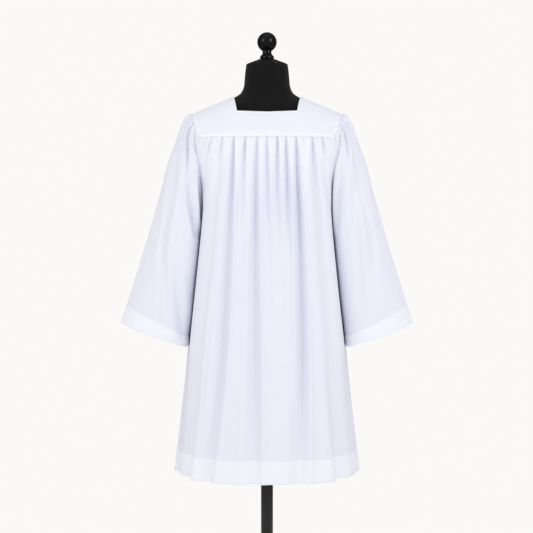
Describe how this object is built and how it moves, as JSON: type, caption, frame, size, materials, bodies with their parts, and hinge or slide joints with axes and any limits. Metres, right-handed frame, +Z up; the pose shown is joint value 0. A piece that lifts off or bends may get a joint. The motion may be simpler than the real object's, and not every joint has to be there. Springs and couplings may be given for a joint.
{
  "type": "surplice on a dress form",
  "caption": "White wide-sleeved vestment with a square yoke neckline and gathered panels, worn by a black limbless dress form with a turned finial on a round stand.",
  "frame": {"origin": "on the floor, under the middle of the form and its pole", "axes": "+Z up, the wearer's back faces -Y and the wearer's right is +X"},
  "size_m": [0.785, 0.449, 1.622],
  "materials": {
    "cloth": "white plain-weave poly-cotton, matt",
    "jersey": "black jersey stretched over the torso, matt",
    "gloss": "black lacquer, glossy",
    "metal": "black powder coat, satin"
  },
  "bodies": {
    "root": {"back_yoke": "cloth", "front_yoke": "cloth", "back_panel": "cloth", "front_panel": "cloth", "sleeve_left": "cloth", "sleeve_right": "cloth", "form_torso": "jersey", "neck_cap": "gloss", "finial": "gloss", "stand_pole": "metal", "stand_base": "metal"}
  },
  "joints": []
}
